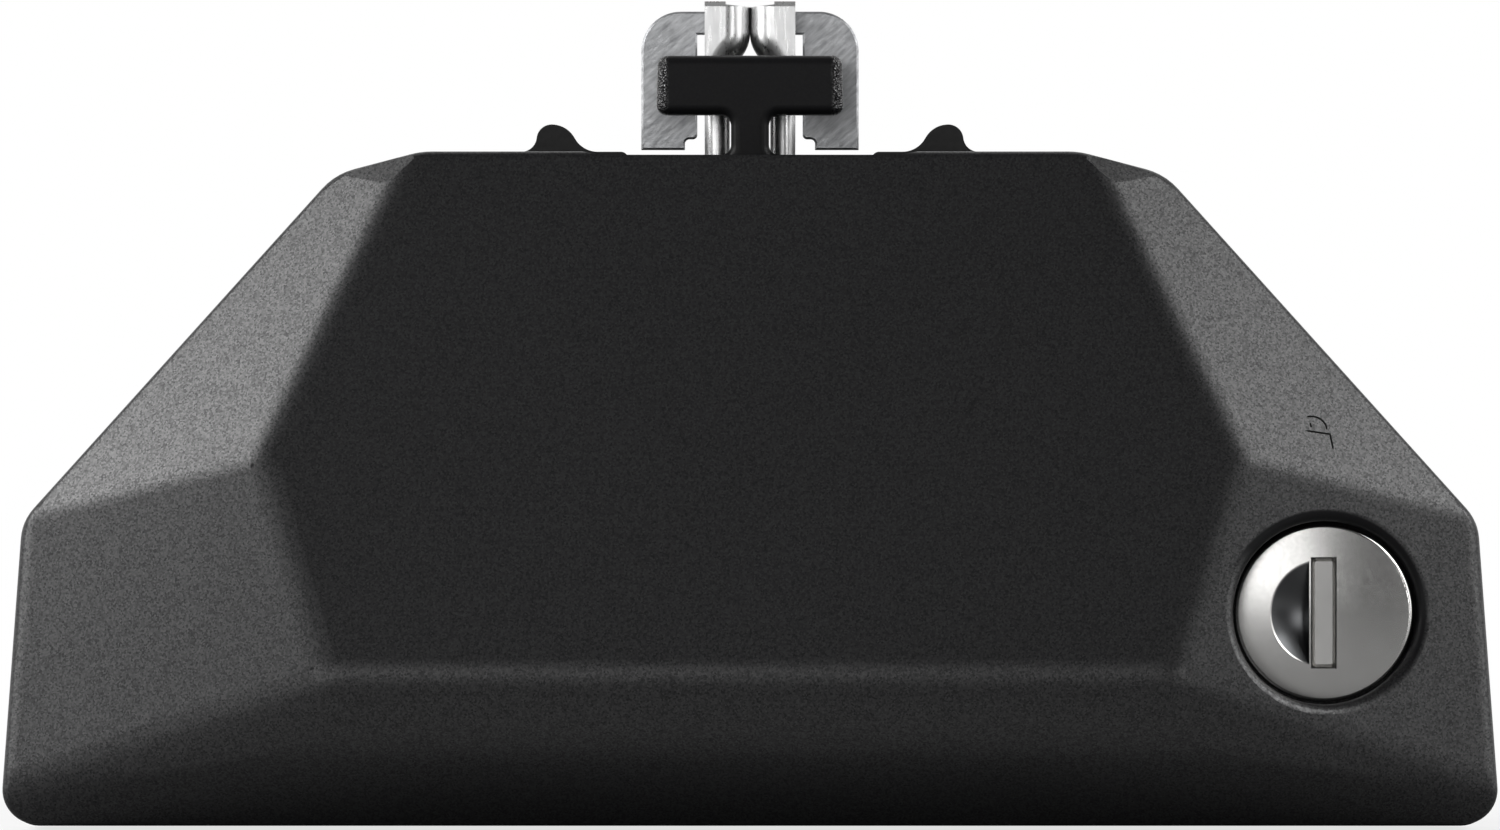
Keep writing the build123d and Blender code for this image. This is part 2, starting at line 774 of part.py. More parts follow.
# Yoke: an inverted U whose crossbar lies in the hook and whose feet press on the slot's lips
with BuildPart() as yoke_plate:
    with BuildSketch(across(yoke_front)) as plate:
        with Locations((0, (yoke_top + yoke_low) / 2)):
            Rectangle(2 * yoke_half, yoke_top - yoke_low)
        fillet(plate.vertices().group_by(Axis.Y)[-1], yoke_round)
        with Locations((0, (window_top + yoke_low) / 2)):
            Rectangle(2 * window_half, window_top - yoke_low, mode=Mode.SUBTRACT)
        with Locations((0, yoke_low)):
            Rectangle(2 * (window_half + yoke_toe_wide), 2 * yoke_toe_high, mode=Mode.SUBTRACT)
        toe_corners = [v for v in plate.vertices() if abs(v.Y - yoke_low - yoke_toe_high) < near]
        fillet(toe_corners, yoke_toe_round)
        with Locations((0, yoke_top)):
            Rectangle(2 * yoke_notch_half, 2 * yoke_notch, mode=Mode.SUBTRACT)
    extrude(plate.sketch, amount=-yoke_sheet)
    chamfer(yoke_plate.faces().sort_by(Axis.Y)[0].edges(), yoke_edge)
save("yoke_plate", yoke_plate.part)

# Cross pin and its two clips
with BuildPart() as cross_pin:
    with BuildSketch(Plane.YZ.offset(-pin_half)) as pin_end:
        with Locations((pin_y, pin_z)):
            Circle(pin_radius)
    extrude(pin_end.sketch, amount=2 * pin_half)
    chamfer(cross_pin.edges().filter_by(GeomType.CIRCLE), pin_radius / 6)
    for side in (-1, 1):
        groove = ring_face(pin_clip_plane(side), (pin_y, pin_z), 2 * pin_radius, pin_groove)
        extrude(groove, amount=clip_thick, mode=Mode.SUBTRACT)
save("cross_pin", cross_pin.part)

with BuildPart() as pin_clips:
    for side in (-1, 1):
        clip_radius = pin_radius + clip_reach
        clip = ring_face(pin_clip_plane(side), (pin_y, pin_z), clip_radius, pin_groove, pin_radius)
        extrude(clip, amount=clip_thick)
save("pin_clips", pin_clips.part)

# Steel frame: a hat section with slots for the hook, the cross pin and the thrust plate
with BuildPart() as steel_frame:
    with BuildSketch(across(frame_front)) as hat:
        with Locations((0, (frame_top + boss_top) / 2)):
            Rectangle(2 * frame_outer, frame_top - boss_top)
        fillet(hat.vertices().group_by(Axis.Y)[-1], frame_bend)
        with BuildSketch(mode=Mode.PRIVATE) as channel:
            with Locations((0, (frame_top - frame_sheet + boss_top) / 2)):
                Rectangle(2 * frame_inner, frame_top - frame_sheet - boss_top)
            fillet(channel.vertices().group_by(Axis.Y)[-1], frame_bend - frame_sheet)
        add(channel.sketch, mode=Mode.SUBTRACT)
        for side in (-1, 1):
            with Locations((side * (frame_inner + frame_foot) / 2, boss_top + frame_sheet / 2)):
                Rectangle(frame_foot - frame_inner, frame_sheet)
    extrude(hat.sketch, amount=frame_front - frame_back)
    block((-hook_slot, hook_slot), (hook_front - hook_clear, hook_back + hook_clear),
          (frame_top - frame_sheet, frame_top), Mode.SUBTRACT)
    with BuildSketch(Plane.YZ.offset(-frame_foot)) as pin_track:
        with Locations((pin_y, pin_z + lift / 2)):
            SlotCenterToCenter(lift, 2 * (pin_radius + track_clear), 90)
    extrude(pin_track.sketch, amount=2 * frame_foot, mode=Mode.SUBTRACT)
    block((-frame_foot, frame_foot), (frame_front, frame_front + thrust_thick),
          (screw_z - thrust_tab_half, screw_z + thrust_tab_half), Mode.SUBTRACT)
    for side in (-1, 1):
        for place in frame_screw_y:
            with Locations((side * frame_screw_x, place, boss_top + frame_sheet / 2)):
                Cylinder(frame_screw_shank + hole_clear, frame_sheet, mode=Mode.SUBTRACT)
    with Locations((0, guide_screw_y, frame_top - frame_sheet / 2)):
        Cylinder(guide_screw_radius + hole_clear, frame_sheet, mode=Mode.SUBTRACT)
save("steel_frame", steel_frame.part)

with BuildPart() as frame_screws:
    for side in (-1, 1):
        for place in frame_screw_y:
            with Locations((side * frame_screw_x, place, frame_seat + frame_screw_high / 2)):
                Cylinder(frame_screw_head, frame_screw_high)
    chamfer(frame_screws.edges().group_by(Axis.Z)[-1], frame_screw_high / 3)
    for side in (-1, 1):
        for place in frame_screw_y:
            with Locations((side * frame_screw_x, place, (frame_seat + boss_top - frame_screw_deep) / 2)):
                Cylinder(frame_screw_shank, frame_seat - boss_top + frame_screw_deep)
save("frame_screws", frame_screws.part)

# Thrust plate, tension screw, washer and clip
with BuildPart() as thrust_plate:
    block((-frame_inner, frame_inner), (frame_front, frame_front + thrust_thick),
          (screw_z - thrust_half_high, screw_z + thrust_half_high))
    block((-frame_outer, frame_outer), (frame_front, frame_front + thrust_thick),
          (screw_z - thrust_tab_half, screw_z + thrust_tab_half))
    rod(0, screw_z, screw_radius + thread_fit, frame_front, frame_front + thrust_thick, Mode.SUBTRACT)
save("thrust_plate", thrust_plate.part)

with BuildPart() as tension_screw:
    rod(0, screw_z, screw_head_radius, washer_front - screw_head_long, washer_front)
    chamfer(tension_screw.faces().sort_by(Axis.Y)[0].edges(), screw_head_radius / 10)
    rod(0, screw_z, screw_radius, washer_front, screw_end)
    chamfer(tension_screw.faces().sort_by(Axis.Y)[-1].edges(), screw_radius / 6)
    with BuildSketch(across(washer_front - screw_head_long)) as socket:
        with Locations((0, screw_z)):
            RegularPolygon(screw_socket / 2, 6, major_radius=False)
    extrude(socket.sketch, amount=-screw_socket_deep, mode=Mode.SUBTRACT)
    groove = ring_face(across(screw_clip_y), (0, screw_z), 2 * screw_radius, screw_groove)
    extrude(groove, amount=-clip_thick, mode=Mode.SUBTRACT)
save("tension_screw", tension_screw.part)

with BuildPart() as thrust_washer:
    rod(0, screw_z, washer_radius, washer_front, frame_front)
    rod(0, screw_z, screw_radius + hole_clear, washer_front, frame_front, Mode.SUBTRACT)
save("thrust_washer", thrust_washer.part)

with BuildPart() as screw_clip:
    clip_radius = screw_radius + clip_reach
    clip = ring_face(across(screw_clip_y), (0, screw_z), clip_radius, screw_groove, screw_radius)
    extrude(clip, amount=-clip_thick)
save("screw_clip", screw_clip.part)

# Draw block: nut on the screw, a tongue with the inclined slot and a toe that reaches the base
with BuildPart() as draw_block:
    with BuildSketch(Plane.XY.offset(block_low)) as nut:
        with Locations((0, block_front + block_long / 2)):
            RectangleRounded(2 * (frame_inner - block_side_clear), block_long, block_long / 6)
    extrude(nut.sketch, amount=block_high - block_low)
    with BuildSketch(Plane.YZ.offset(-tongue_half)) as tongue:
        with BuildLine():
            FilletPolyline(
                (block_front, block_low),
                (block_front, block_high),
                (tongue_front_y, pin_z - tongue_margin),
                (tongue_front_y, tongue_top),
                (tongue_back_y, tongue_top),
                (block_front + block_long, block_high),
                (block_front + block_long, block_low),
                radius=[0, tongue_round, tongue_round, tongue_round, 0],
                close=False,
            )
            Line((block_front + block_long, block_low), (block_front, block_low))
        make_face()
        with Locations((pin_y - lift / 2, pin_z + lift / 2)):
            SlotCenterToCenter(lift * 2**0.5, 2 * (pin_radius + pin_fit), 135, mode=Mode.SUBTRACT)
    extrude(tongue.sketch, amount=2 * tongue_half)
    block((-toe_half, toe_half), (block_front, block_front + toe_thick), (toe_low, block_low))
    rod(0, toe_hole_z, toe_hole, block_front, block_front + toe_thick, Mode.SUBTRACT)
    rod(0, screw_z, screw_radius + thread_fit, block_front, block_front + block_long, Mode.SUBTRACT)
save("draw_block", draw_block.part)
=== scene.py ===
# %% [markdown]
# # A roof bar foot, dressed for the studio
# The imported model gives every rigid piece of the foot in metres: +X to the right of the faceted front,
# +Y back along the bar, +Z up. This lesson loads it as a fixed frame, gives each piece the finish of its
# real material, adds the small sign that the solids leave out, and lights it as a catalogue photograph is
# lit.

# %% Load the frame
import json

import bpy
import numpy as np
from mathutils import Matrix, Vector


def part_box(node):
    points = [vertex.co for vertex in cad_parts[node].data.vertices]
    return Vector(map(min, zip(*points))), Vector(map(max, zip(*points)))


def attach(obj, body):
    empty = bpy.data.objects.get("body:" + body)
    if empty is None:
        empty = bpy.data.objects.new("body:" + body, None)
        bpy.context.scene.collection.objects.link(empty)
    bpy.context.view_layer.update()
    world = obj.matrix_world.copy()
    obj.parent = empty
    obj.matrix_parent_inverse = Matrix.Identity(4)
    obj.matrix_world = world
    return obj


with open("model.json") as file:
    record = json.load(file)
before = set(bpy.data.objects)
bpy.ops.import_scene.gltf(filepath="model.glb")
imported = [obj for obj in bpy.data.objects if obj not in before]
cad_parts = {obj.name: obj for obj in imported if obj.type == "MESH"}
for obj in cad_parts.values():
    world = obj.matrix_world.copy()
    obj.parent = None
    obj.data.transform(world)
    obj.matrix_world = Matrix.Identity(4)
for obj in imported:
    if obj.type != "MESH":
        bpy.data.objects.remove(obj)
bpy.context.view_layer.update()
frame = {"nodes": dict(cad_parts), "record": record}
MM = 0.001

# %% [markdown]
# ## Colour and node helpers
# A colour is written as it looks on a screen, in sRGB hex, but shaders add light and so work in linear
# values. One function makes that step. A second one adds a node, sets it and wires it in one line, which
# keeps each material short enough to read as a recipe.


# %% Helpers for colours and nodes
def linear(hex_colour):
    """Turn an sRGB hex colour into linear RGBA: a straight foot near black, a 2.4 power above it."""
    srgb = np.array([int(hex_colour[place:place + 2], 16) / 255 for place in (1, 3, 5)])
    rgb = np.where(srgb <= 0.04045, srgb / 12.92, ((srgb + 0.055) / 1.055) ** 2.4)
    return (*rgb.tolist(), 1.0)


def add_node(tree, kind, inputs=None, **settings):
    """Add one node; inputs maps a socket to a constant, or to another node's output that is then linked."""
    node = tree.nodes.new(kind)
    for name, value in settings.items():
        setattr(node, name, value)
    for socket, value in (inputs or {}).items():
        if isinstance(value, bpy.types.NodeSocket):
            tree.links.new(value, node.inputs[socket])
        else:
            node.inputs[socket].default_value = value
    return node


def new_material(name):
    """Empty node material, with its tree and the Object coordinates that every pattern here is drawn in."""
    material = bpy.data.materials.new(name)
    material.use_nodes = True
    material.node_tree.nodes.clear()
    place = add_node(material.node_tree, "ShaderNodeTexCoord").outputs["Object"]
    return material, material.node_tree, place


def per_metre(size_mm):
    """Texture scale that makes one cell of a pattern this many millimetres wide."""
    return 1 / (size_mm * MM)


def close(material, tree, shader):
    """Wire the finished shader to the material's output and print its name."""
    add_node(tree, "ShaderNodeOutputMaterial", {"Surface": shader})
    print("material", material.name)
    return material


print("linear value of a middle grey, #808080:", linear("#808080")[0])

# %% [markdown]
# ## Moulded plastics
# The cover is black polyamide from a spark-eroded mould: the steel's tiny pits leave a fine even grain,
# which scatters light and turns each flat facet into one soft tone. A painted normal map could show that,
# but cells in Object coordinates need no unwrapping and keep their size in millimetres on every piece.
# Each cell gets its own sheen, which shows as speckle; the relief of the grain itself stays very low.

# %% Recipe for a moulded plastic
CLOUD_MM = 18
RELIEF_SHARE = 1 / 50
WORN_SHEEN, WORN_ROUGH = 1.0, 0.2
# Sheen that is left where shade is painted.
PAINTED_SHADE_SHEEN = 0.08
RIM_FALL = 0.36


def moulded(name, colour, pale, grain_mm, rough, specular, speckle, worn_mm=None, shade=None, rim=None):
    """Moulded black plastic or rubber: faint clouds of colour and a grain of cells, each with its own sheen.

    worn_mm gives the two distances from the middle plane between which the grain grows coarse and glints.
    shade is a mask of painted shade, where the sheen is lost. rim is a height, 1 on the faces and 0 on an
    edge that it rounds.
    """
    material, tree, place = new_material(name)
    clouds = add_node(tree, "ShaderNodeTexNoise",
                      {"Vector": place, "Scale": per_metre(CLOUD_MM), "Detail": 3.0})
    tone = add_node(tree, "ShaderNodeMix", {"Factor": clouds.outputs["Fac"], "A": linear(colour),
                                            "B": linear(pale)}, data_type="RGBA")
    cells = add_node(tree, "ShaderNodeTexVoronoi", {"Vector": place, "Scale": per_metre(grain_mm)})
    sheen = add_node(tree, "ShaderNodeMapRange", {
        "Value": cells.outputs["Color"], "From Min": 0.1, "From Max": 0.9,
        "To Min": specular * (1 - speckle), "To Max": specular * (1 + speckle)})
    relief = add_node(tree, "ShaderNodeBump", {"Height": cells.outputs["Distance"], "Strength": 0.6,
                                               "Distance": grain_mm * MM * RELIEF_SHARE})
    shader = add_node(tree, "ShaderNodeBsdfPrincipled", {
        "Base Color": tone.outputs["Result"], "Roughness": rough, "Normal": relief.outputs["Normal"],
        "Specular IOR Level": sheen.outputs["Result"]})
    if worn_mm:
        across = add_node(tree, "ShaderNodeSeparateXYZ", {"Vector": place})
        out = add_node(tree, "ShaderNodeMath", {0: across.outputs["X"]}, operation="ABSOLUTE")
        for node, socket, worn in ((relief, "Distance", grain_mm * MM), (sheen, "To Max", WORN_SHEEN),
                                   (shader, "Roughness", WORN_ROUGH)):
            growth = add_node(tree, "ShaderNodeMapRange", {
                "Value": out.outputs["Value"], "From Min": worn_mm[0] * MM, "From Max": worn_mm[1] * MM,
                "To Min": node.inputs[socket].default_value, "To Max": worn})
            tree.links.new(growth.outputs["Result"], node.inputs[socket])
    if rim:
        rounded = add_node(tree, "ShaderNodeBump", {"Height": rim(tree, place), "Distance": RIM_FALL * MM})
        tree.links.new(rounded.outputs["Normal"], relief.inputs["Normal"])
    # Painted shade: where the shade mask is 1, the specular level falls to a low sheen.
    if shade:
        sheen_under_painted_shade = add_node(tree, "ShaderNodeMapRange", {
            "Value": shade(tree, place), "To Min": sheen.outputs["Result"], "To Max": PAINTED_SHADE_SHEEN})
        tree.links.new(sheen_under_painted_shade.outputs["Result"], shader.inputs["Specular IOR Level"])
    return close(material, tree, shader.outputs["BSDF"])


print("recipe ready: moulded plastic")

# %% [markdown]
# ## Masks round the lock
# Two places round the lock get painted shade: the wall of the recess round the lock lies in shade, and a mask
# takes its sheen away as well; the scoop in the lock's face is painted darker than the face. A mask drawn as
# an image would need an unwrapped mesh. Here a mask is a product of ramps, each of which goes from 0 to 1
# over a short distance measured from the lock.

# %% Distances from the lock, and products of ramps
plug_low, plug_high = np.array(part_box("lock_plug"))
lock_middle = ((plug_low[0] + plug_high[0]) / 2, plug_low[1], (plug_low[2] + plug_high[2]) / 2)
ACROSS_LOCK = (1, 0, 1)


def from_lock(tree, place):
    """Place measured from the middle of the lock's face, its part across the lock's axis, and the radius."""
    away = add_node(tree, "ShaderNodeVectorMath", {0: place, 1: lock_middle}, operation="SUBTRACT")
    across = add_node(tree, "ShaderNodeVectorMath", {0: away.outputs["Vector"], 1: ACROSS_LOCK},
                      operation="MULTIPLY")
    radius = add_node(tree, "ShaderNodeVectorMath", {0: across.outputs["Vector"]}, operation="LENGTH")
    return away.outputs["Vector"], across.outputs["Vector"], radius.outputs["Value"]


def product(tree, *ramps):
    """Product of ramps, each a socket with the two millimetres between which it goes from 0 to 1."""
    mask = None
    for socket, start, end in ramps:
        ramp = add_node(tree, "ShaderNodeMapRange",
                        {"Value": socket, "From Min": start * MM, "From Max": end * MM}).outputs["Result"]
        mask = ramp if mask is None else add_node(tree, "ShaderNodeMath", {0: mask, 1: ramp},
                                                  operation="MULTIPLY").outputs["Value"]
    return mask


print("middle of the lock's face in metres:", lock_middle)

# %% [markdown]
# ## Recess and rim of the cover
# The recess round the lock has a wall that faces down and to the left and lies in shade; painted shade
# darkens it further, as a mask that takes the sheen away there. The cover's left and right edges are rounded
# off softly, and each shows a light band where it turns toward the side of the room. A mesh with a wide bevel
# could show that band; a low bump along the edge bends the light in the same way and leaves the solid as it
# is.

# %% Painted shade in the recess and softer rims
RECESS_RADIUS = (12.5, 12.2)
RECESS_SIDE = (-3.0, 2.0)
UP_RIGHT = (0.53, 0, 0.85)
RIM_WIDE = 1.7
EDGE_FOOT = 90.5
EDGE_LEAN = 0.0726


def painted_recess_shade(tree, place):
    """Painted shade: 1 on the upper right wall of the recess, within its radius, and on the side that
    UP_RIGHT points to.
    """
    _, across, radius = from_lock(tree, place)
    side = add_node(tree, "ShaderNodeVectorMath", {0: across, 1: UP_RIGHT}, operation="DOT_PRODUCT")
    return product(tree, (radius, *RECESS_RADIUS), (side.outputs["Value"], *RECESS_SIDE))


def soft_rim(tree, place):
    """1 on the facets, falling as a parabola to 0 over the last RIM_WIDE millimetres to the side edges.

    The edges lean in by EDGE_LEAN, so x plus that share of z is EDGE_FOOT millimetres all along them.
    """
    axes = add_node(tree, "ShaderNodeSeparateXYZ", {"Vector": place})
    out = add_node(tree, "ShaderNodeMath", {0: axes.outputs["X"]}, operation="ABSOLUTE")
    side = add_node(tree, "ShaderNodeMath", {0: axes.outputs["Z"], 1: EDGE_LEAN, 2: out.outputs["Value"]},
                    operation="MULTIPLY_ADD")
    near = product(tree, (side.outputs["Value"], EDGE_FOOT - RIM_WIDE, EDGE_FOOT))
    square = add_node(tree, "ShaderNodeMath", {0: near, 1: 2.0}, operation="POWER")
    height = add_node(tree, "ShaderNodeMath", {0: 1.0, 1: square.outputs["Value"]}, operation="SUBTRACT")
    return height.outputs["Value"]


print("soft rim in millimetres:", RIM_WIDE)

# %% [markdown]
# ## The black finishes
# Four black materials lie side by side on the foot, and the eye tells them apart by their sheen alone. One
# recipe with different grain, roughness and specular level makes all four, so a change to the recipe keeps
# them related. Spark-eroded grain is about 0.1 mm wide, which is under one pixel here, so the grains are
# drawn at 0.2 to 0.5 mm to show at all.

# %% Black plastics and rubber
# Polyamide with spark-eroded grain: deep grey-black, each facet one even tone with a fine speckle.
# Painted shade takes the sheen off the wall of the recess round the lock.
cover_plastic = moulded("moulded_polyamide_cover", "#141415", "#171718", grain_mm=0.22, rough=0.36,
                        specular=0.5, speckle=0.5, shade=painted_recess_shade, rim=soft_rim)
# Glass-filled polyamide: the same black, duller than the cover.
housing_plastic = moulded("glass_filled_polyamide", "#161617", "#1a1a1b", grain_mm=0.4, rough=0.55,
                          specular=0.4, speckle=0.15)
# Polyamide whose grain stands up at the guide's two ends, where its peaks glint.
guide_plastic = moulded("coarse_grained_polyamide", "#101011", "#131314", grain_mm=0.24, rough=0.4,
                        specular=0.12, speckle=0.15, worn_mm=(9.7, 10.2))
# Moulded rubber: black, soft sheen, no glint.
saddle_rubber = moulded("moulded_rubber", "#121212", "#161616", grain_mm=0.5, rough=0.6,
                        specular=0.3, speckle=0.1)

# %% [markdown]
# ## Metals
# Metals show what is around them, so their finish is mostly roughness: plating is cloudy, and sheet keeps
# the marks of rolling. Scratches could be modelled or painted one by one; noise that is stretched along one
# axis draws them all. It bends roughness and a little colour, and the shape hardly at all.

# %% Recipe for a metal
MARK_RELIEF = 0.002
# The scoop's tone is painted shade, for the dim room that it mirrors; its roughness is its own.
PAINTED_SCOOP_TONE, DIP_ROUGH = "#505152", 0.26


def metal(name, colour, pale, mark_mm, rough, spread, stretch=(1, 1, 1), cloud_mm=6.0, lean=0.0, dip=None):
    """Metal with rolled or brushed marks: noise stretched along one axis varies colour and roughness.

    lean turns the marks in the plane of the front, in degrees; dip is a mask of painted shade, where the
    metal is darker.
    """
    material, tree, place = new_material(name)
    along = add_node(tree, "ShaderNodeMapping", {"Vector": place, "Rotation": (0, np.radians(lean), 0),
                                                 "Scale": stretch}, vector_type="TEXTURE").outputs["Vector"]
    marks = add_node(tree, "ShaderNodeTexNoise", {"Vector": along, "Scale": per_metre(mark_mm),
                                                  "Detail": 4.0, "Roughness": 0.6}).outputs["Fac"]
    cloud = add_node(tree, "ShaderNodeTexNoise", {"Vector": along, "Scale": per_metre(cloud_mm),
                                                  "Detail": 4.0}).outputs["Fac"]
    fade = add_node(tree, "ShaderNodeMapRange", {"Value": cloud, "From Min": 0.3, "From Max": 0.7})
    tone = add_node(tree, "ShaderNodeMix", {"Factor": fade.outputs["Result"], "A": linear(colour),
                                            "B": linear(pale)}, data_type="RGBA").outputs["Result"]
    gloss = add_node(tree, "ShaderNodeMapRange", {
        "Value": marks, "From Min": 0.3, "From Max": 0.7,
        "To Min": rough - spread, "To Max": rough + spread}).outputs["Result"]
    if dip:
        depth = dip(tree, place)
        # Painted shade: the tone is mixed toward a darker grey where the mask is 1.
        tone = add_node(tree, "ShaderNodeMix", {"Factor": depth, "A": tone, "B": linear(PAINTED_SCOOP_TONE)},
                        data_type="RGBA").outputs["Result"]
        gloss = add_node(tree, "ShaderNodeMapRange",
                         {"Value": depth, "To Min": gloss, "To Max": DIP_ROUGH}).outputs["Result"]
    relief = add_node(tree, "ShaderNodeBump", {"Height": marks, "Strength": 0.4,
                                               "Distance": MARK_RELIEF * MM})
    shader = add_node(tree, "ShaderNodeBsdfPrincipled", {
        "Base Color": tone, "Metallic": 1.0, "Roughness": gloss, "Normal": relief.outputs["Normal"]})
    return close(material, tree, shader.outputs["BSDF"])


print("recipe ready: metal")

# %% [markdown]
# ## Painted shade in the lock's scoop
# A half-moon is pressed into the lock's domed face beside the key slot, and the dark room shows in it;
# painted shade makes it darker still. The face and the scoop are one piece of plated metal, so a second
# material would need its faces picked out. A mask does it instead: it asks how far each point lies below the
# dome.

# %% Mask of the painted shade in the scoop
LOCK_DOME = 4.8
SCOOP_RADIUS = (9.0, 8.8)
SCOOP_DEPTH = (0.04, 0.14)
SCOOP_SIDE = (-1.6, -1.7)


def painted_scoop_shade(tree, place):
    """Painted shade: 1 in the half-moon scoop, left of the key slot, near the middle, and below the dome.

    The dome falls back from the middle of the face by LOCK_DOME times the radius squared, in metres.
    """
    away, _, radius = from_lock(tree, place)
    axes = add_node(tree, "ShaderNodeSeparateXYZ", {"Vector": away})
    square = add_node(tree, "ShaderNodeMath", {0: radius, 1: radius}, operation="MULTIPLY")
    below = add_node(tree, "ShaderNodeMath", {0: square.outputs["Value"], 1: -LOCK_DOME,
                                              2: axes.outputs["Y"]}, operation="MULTIPLY_ADD")
    return product(tree, (radius, *SCOOP_RADIUS), (below.outputs["Value"], *SCOOP_DEPTH),
                   (axes.outputs["X"], *SCOOP_SIDE))


print("scoop depths in millimetres:", SCOOP_DEPTH)

# %% [markdown]
# ## The metal finishes
# The lock is nickel plated, the hook is polished by the tool that folded it, and the plates and screws are
# zinc plated against rust. Each starts from the recipe, with the colour and roughness of that plating. Real
# marks of rolling are a few hundredths of a millimetre wide; they are drawn at 0.2 to 0.8 mm so that they
# show.

# %% Plated and bare steels
# Satin nickel plate: warm white metal with a soft, even glow; its scoop mirrors the dim room, and painted
# shade makes it darker.
lock_nickel = metal("satin_nickel_plate", "#c6c5c3", "#d0cfcd", mark_mm=0.5, rough=0.22, spread=0.02,
                    dip=painted_scoop_shade)
# Die-cast zinc: cloudy grey skin with a dull shine.
zinc_cast = metal("die_cast_zinc", "#9c9da0", "#b0b1b3", mark_mm=0.8, rough=0.45, spread=0.08)
# Zinc plated sheet: mottled matte grey with slanting scratches.
zinc_steel = metal("zinc_plated_sheet", "#949597", "#c6c7c9", mark_mm=0.2, rough=0.4, spread=0.12,
                   stretch=(1, 1, 5), cloud_mm=0.5, lean=50)
# Folded hook, polished by the press tool: bright, with fine marks along the bend.
hook_steel = metal("polished_folded_steel", "#d4d4d4", "#e2e2e2", mark_mm=0.3, rough=0.3, spread=0.05,
                   stretch=(1, 1, 10))
# Turned and plated steel: bright, with a faint cloud in its plating.
bright_steel = metal("zinc_plated_turned_steel", "#b2b3b5", "#c4c5c7", mark_mm=0.4, rough=0.3, spread=0.06)
# Blued spring steel: dark grey with a low gloss.
spring_steel = metal("blued_spring_steel", "#55575c", "#64666a", mark_mm=0.4, rough=0.35, spread=0.05)

# %% [markdown]
# ## Dress the frame
# The record names a material slot for each node, so the finishes are put on by slot: every piece of one
# material gets the same finish, and a new node needs no new line here.

# %% Put the finishes on the nodes
finishes = {
    "cover_plastic": cover_plastic, "housing_plastic": housing_plastic, "guide_plastic": guide_plastic,
    "saddle_rubber": saddle_rubber, "lock_nickel": lock_nickel, "zinc_cast": zinc_cast,
    "zinc_steel": zinc_steel, "hook_steel": hook_steel, "bright_steel": bright_steel,
    "spring_steel": spring_steel,
}
for part in frame["record"]["subparts"]:
    slots = frame["nodes"][part["node"]].data.materials
    slots.clear()
    slots.append(finishes[part["material_slot"]])

# %% [markdown]
# ## Surfaces from formulas
# A piece that solids leave out is drawn as a surface: a formula of two parameters is worked out on a whole
# grid of points at once, and the grid's squares become the faces. Changing the formula changes the piece,
# and a finer grid makes it smoother without any other edit.


# %% Surface helper
def surface(name, formula, steps):
    """Mesh of a formula of two parameters, each from 0 to 1: it is worked out on a whole grid at once."""
    u, v = np.meshgrid(np.linspace(0, 1, steps[0] + 1), np.linspace(0, 1, steps[1] + 1), indexing="ij")
    points = np.stack(np.broadcast_arrays(*formula(u, v)), axis=-1).reshape(-1, 3)
    corner = (np.arange(steps[0])[:, None] * (steps[1] + 1) + np.arange(steps[1])).ravel()
    quads = np.stack([corner, corner + steps[1] + 1, corner + steps[1] + 2, corner + 1], axis=-1)
    mesh = bpy.data.meshes.new(name)
    mesh.from_pydata(points.tolist(), [], quads.tolist())
    mesh.polygons.foreach_set("use_smooth", np.full(len(quads), True))
    piece = bpy.data.objects.new(name, mesh)
    bpy.context.collection.objects.link(piece)
    print("surface", name, len(points), "points")
    return piece


# %% [markdown]
# ## The small sign above the lock
# On the real cover a sign about 4 mm wide is engraved above the lock: a loop, a tick inside it, and a bar
# that bends down toward the key. A cutter follows each line with a fine point, so every stroke has one width
# and fades at its ends. A displacement map would need an unwrapped cover; a line laid on the facet's plane
# keeps its width in millimetres. Three rays find that plane, so the sign lies on the facet wherever it is.

# %% Plane of the upper right facet
cover = frame["nodes"]["front_cover"]
probes = np.array([[66.0, 46.0], [70.0, 46.0], [68.0, 50.0]]) * MM
hits = np.array([cover.ray_cast((x, -1, z), (0, 1, 0))[1] for x, z in probes])
slope = np.linalg.solve(np.column_stack([hits[:, 0], hits[:, 2], np.ones(3)]), hits[:, 1])
print("facet: y =", slope[0], "x +", slope[1], "z +", slope[2])

# %% Formula of an engraved stroke
STROKE_HALF = 0.11
STROKE_HIGH = 0.03
STROKE_FADE = 12
STROKE_STEPS = (48, 6)


def stroke(path_mm):
    """Formula of one line: a low half-round of constant width along a path, fading to a point at its ends."""
    def formula(u, v):
        place = np.linspace(0, 1, len(path_mm))
        line = [np.interp(u, place, path_mm[:, axis]) * MM for axis in (0, 1)]
        ahead = [np.gradient(axis, axis=0) for axis in line]
        length = np.hypot(*ahead)
        width = STROKE_HALF * MM * np.minimum(1, STROKE_FADE * np.minimum(u, 1 - u)) * np.cos(np.pi * v)
        x = line[0] + width * ahead[1] / length
        z = line[1] - width * ahead[0] / length
        high = STROKE_HIGH * MM * np.sin(np.pi * v)
        return x, slope[0] * x + slope[1] * z + slope[2] - high, z
    return formula


print("stroke width in millimetres:", 2 * STROKE_HALF)

# %% Three strokes of the sign
LOOP_MIDDLE = (67.55, 47.75)
LOOP_RADII = (1.88, 1.68)
turn = np.radians(np.linspace(110, 0, 24))
loop = np.column_stack([LOOP_MIDDLE[0] + LOOP_RADII[0] * np.cos(turn),
                        LOOP_MIDDLE[1] + LOOP_RADII[1] * np.sin(turn)])
tick = np.array([[67.4, 48.65], [67.55, 48.1]])
bar = np.array([[66.7, 47.75], [69.8, 47.3], [70.2, 45.4]])
